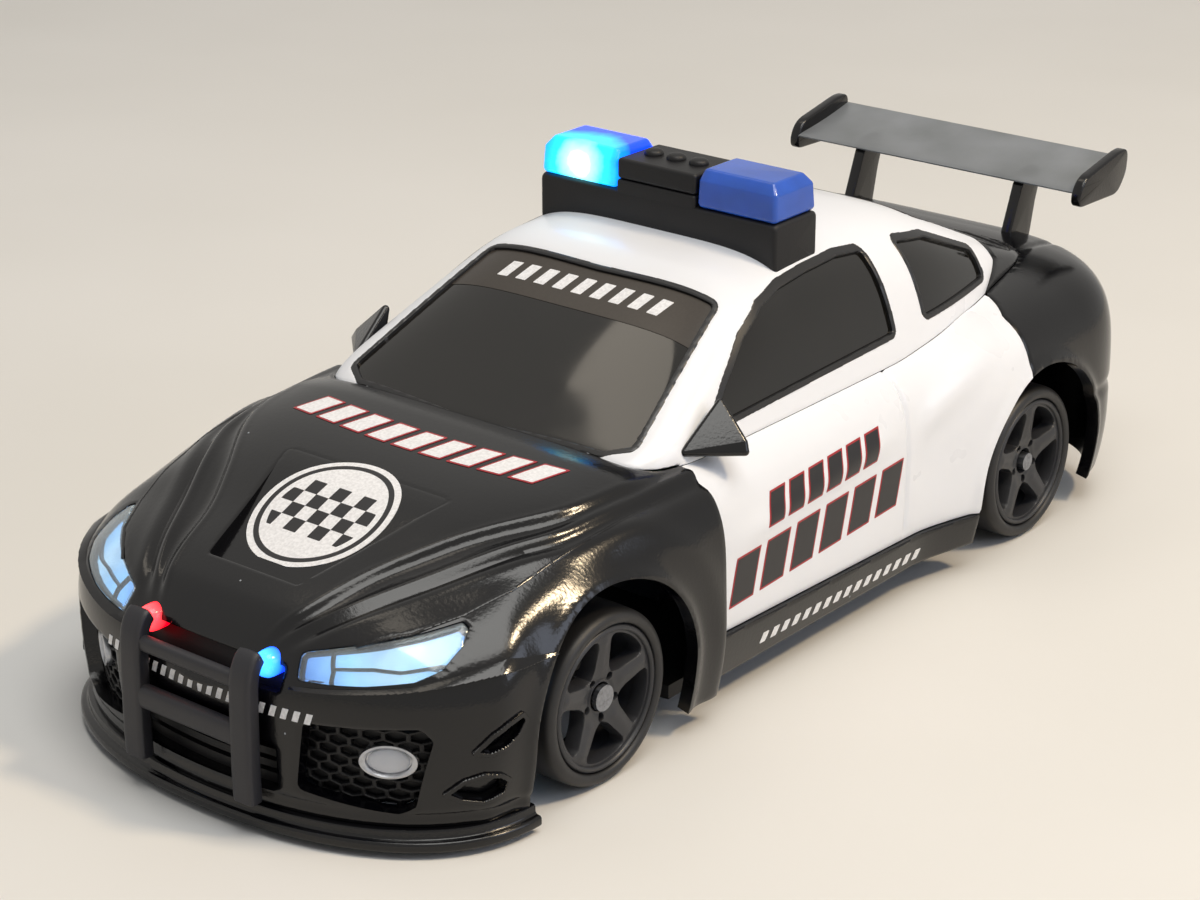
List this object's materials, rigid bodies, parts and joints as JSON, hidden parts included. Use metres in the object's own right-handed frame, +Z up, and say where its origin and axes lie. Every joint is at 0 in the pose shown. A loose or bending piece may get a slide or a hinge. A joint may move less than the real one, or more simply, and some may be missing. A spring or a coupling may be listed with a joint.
{
  "type": "toy police car",
  "caption": "Palm-sized radio-controlled police drift car with steering front wheels, geared rear drive, push bar, roof light bar and rear wing.",
  "frame": {"origin": "on the floor under the middle of the car's bounding box", "axes": "+Z up, nose towards -Y, the car's left side towards +X"},
  "size_m": [0.046, 0.108, 0.0379],
  "materials": {
    "body_black": "gloss black moulded body",
    "body_white": "gloss white moulded body",
    "trim_black": "satin black moulded trim",
    "chassis_plastic": "fine-grained black chassis plastic",
    "window_tint": "dark tinted clear plastic",
    "lamp_clear": "clear lens, lit blue-white",
    "lamp_silver": "silver lamp housing",
    "lens_blue": "clear blue lens, dark",
    "lens_blue_lit": "clear blue lens, lit",
    "lamp_red": "clear red lamp, lit",
    "lamp_blue": "clear blue lamp, lit",
    "lens_red": "clear red lens, dark",
    "smoke_plastic": "smoked clear plastic",
    "rim_grey": "matt dark grey rim",
    "tyre": "hard slick drift tyre",
    "steel": "turned steel",
    "bronze": "sintered bronze bush and brass pinion",
    "nylon": "natural nylon",
    "board_green": "circuit board",
    "battery_foil": "pouch cell",
    "switch_plastic": "grey switch plastic",
    "led_white": "white LED package"
  },
  "bodies": {
    "car": {"front_clip": "body_black", "cabin_shell": "body_white", "rear_clip": "body_black", "side_skirts": "trim_black", "front_splitter": "trim_black", "rear_diffuser": "trim_black", "push_bar": "trim_black", "push_bar_lamp_red": "lamp_red", "push_bar_lamp_blue": "lamp_blue", "grille_inserts": "trim_black", "fog_grilles": "trim_black", "fog_lamps": "lamp_silver", "headlamp_lenses": "lamp_clear", "headlamp_housings": "lamp_silver", "windscreen": "window_tint", "side_windows": "window_tint", "rear_window": "window_tint", "mirrors": "body_black", "light_bar_base": "trim_black", "light_bar_lens_left": "lens_blue", "light_bar_lens_right": "lens_blue_lit", "light_bar_cover": "trim_black", "light_bar_leds": "led_white", "wing_plane": "smoke_plastic", "wing_end_plates": "trim_black", "wing_stays": "trim_black", "tail_lamps": "lens_red", "chassis_tray": "chassis_plastic", "body_screws": "steel", "small_screws": "steel", "main_board": "board_green", "battery_cell": "battery_foil", "charge_socket": "steel", "power_switch_body": "switch_plastic", "steering_deck": "chassis_plastic", "kingpins": "steel", "steering_motor": "chassis_plastic", "axle_bushes": "bronze", "motor_can": "steel", "motor_clamp": "chassis_plastic"},
    "rear_axle": {"rear_axle_shaft": "steel", "axle_gear": "nylon", "rear_rim_left": "rim_grey", "rear_rim_right": "rim_grey", "rear_tyre_left": "tyre", "rear_tyre_right": "tyre"},
    "motor_rotor": {"motor_shaft": "steel", "motor_pinion": "bronze"},
    "steer_knuckle_left": {"knuckle_left": "chassis_plastic", "axle_pin_left": "steel"},
    "steer_knuckle_right": {"knuckle_right": "chassis_plastic", "axle_pin_right": "steel"},
    "front_wheel_left": {"front_rim_left": "rim_grey", "front_tyre_left": "tyre"},
    "front_wheel_right": {"front_rim_right": "rim_grey", "front_tyre_right": "tyre"},
    "steer_rod": {"tie_rod": "nylon"},
    "steer_crank": {"steering_crank": "nylon"},
    "switch_knob": {"power_switch_knob": "switch_plastic"}
  },
  "joints": [
    {"name": "rear_axle_spin", "type": "hinge", "parent": "car", "child": "rear_axle", "pos_m": [0, 0.0305, 0.0071], "axis": [1, 0, 0], "continuous": true},
    {"name": "motor_spin", "type": "hinge", "parent": "car", "child": "motor_rotor", "pos_m": [0, 0.02455, 0.0071], "axis": [1, 0, 0], "continuous": true},
    {"name": "steer_left", "type": "hinge", "parent": "car", "child": "steer_knuckle_left", "pos_m": [0.0129, -0.0305, 0.0071], "axis": [0, 0, 1], "range_deg": [-25, 25]},
    {"name": "steer_right", "type": "hinge", "parent": "car", "child": "steer_knuckle_right", "pos_m": [-0.0129, -0.0305, 0.0071], "axis": [0, 0, 1], "range_deg": [-25, 25]},
    {"name": "tie_rod_slide", "type": "slide", "parent": "car", "child": "steer_rod", "axis": [1, 0, 0], "range_m": [-0.0018, 0.0018]},
    {"name": "crank_turn", "type": "hinge", "parent": "car", "child": "steer_crank", "pos_m": [0, -0.0221, 0.0074], "axis": [0, 0, 1], "range_deg": [-25, 25]},
    {"name": "front_left_spin", "type": "hinge", "parent": "steer_knuckle_left", "child": "front_wheel_left", "pos_m": [0.0188, -0.0305, 0.0071], "axis": [1, 0, 0], "continuous": true},
    {"name": "front_right_spin", "type": "hinge", "parent": "steer_knuckle_right", "child": "front_wheel_right", "pos_m": [-0.0188, -0.0305, 0.0071], "axis": [1, 0, 0], "continuous": true},
    {"name": "power_switch_slide", "type": "slide", "parent": "car", "child": "switch_knob", "axis": [0, 1, 0], "range_m": [0, 0.002]}
  ],
  "couplings": [
    {"joint": "motor_spin", "follows": "rear_axle_spin", "ratio": -2.4},
    {"joint": "steer_right", "follows": "steer_left", "ratio": 1},
    {"joint": "tie_rod_slide", "follows": "steer_left", "m_per_rad": -0.004068},
    {"joint": "crank_turn", "follows": "steer_left", "ratio": -1}
  ]
}
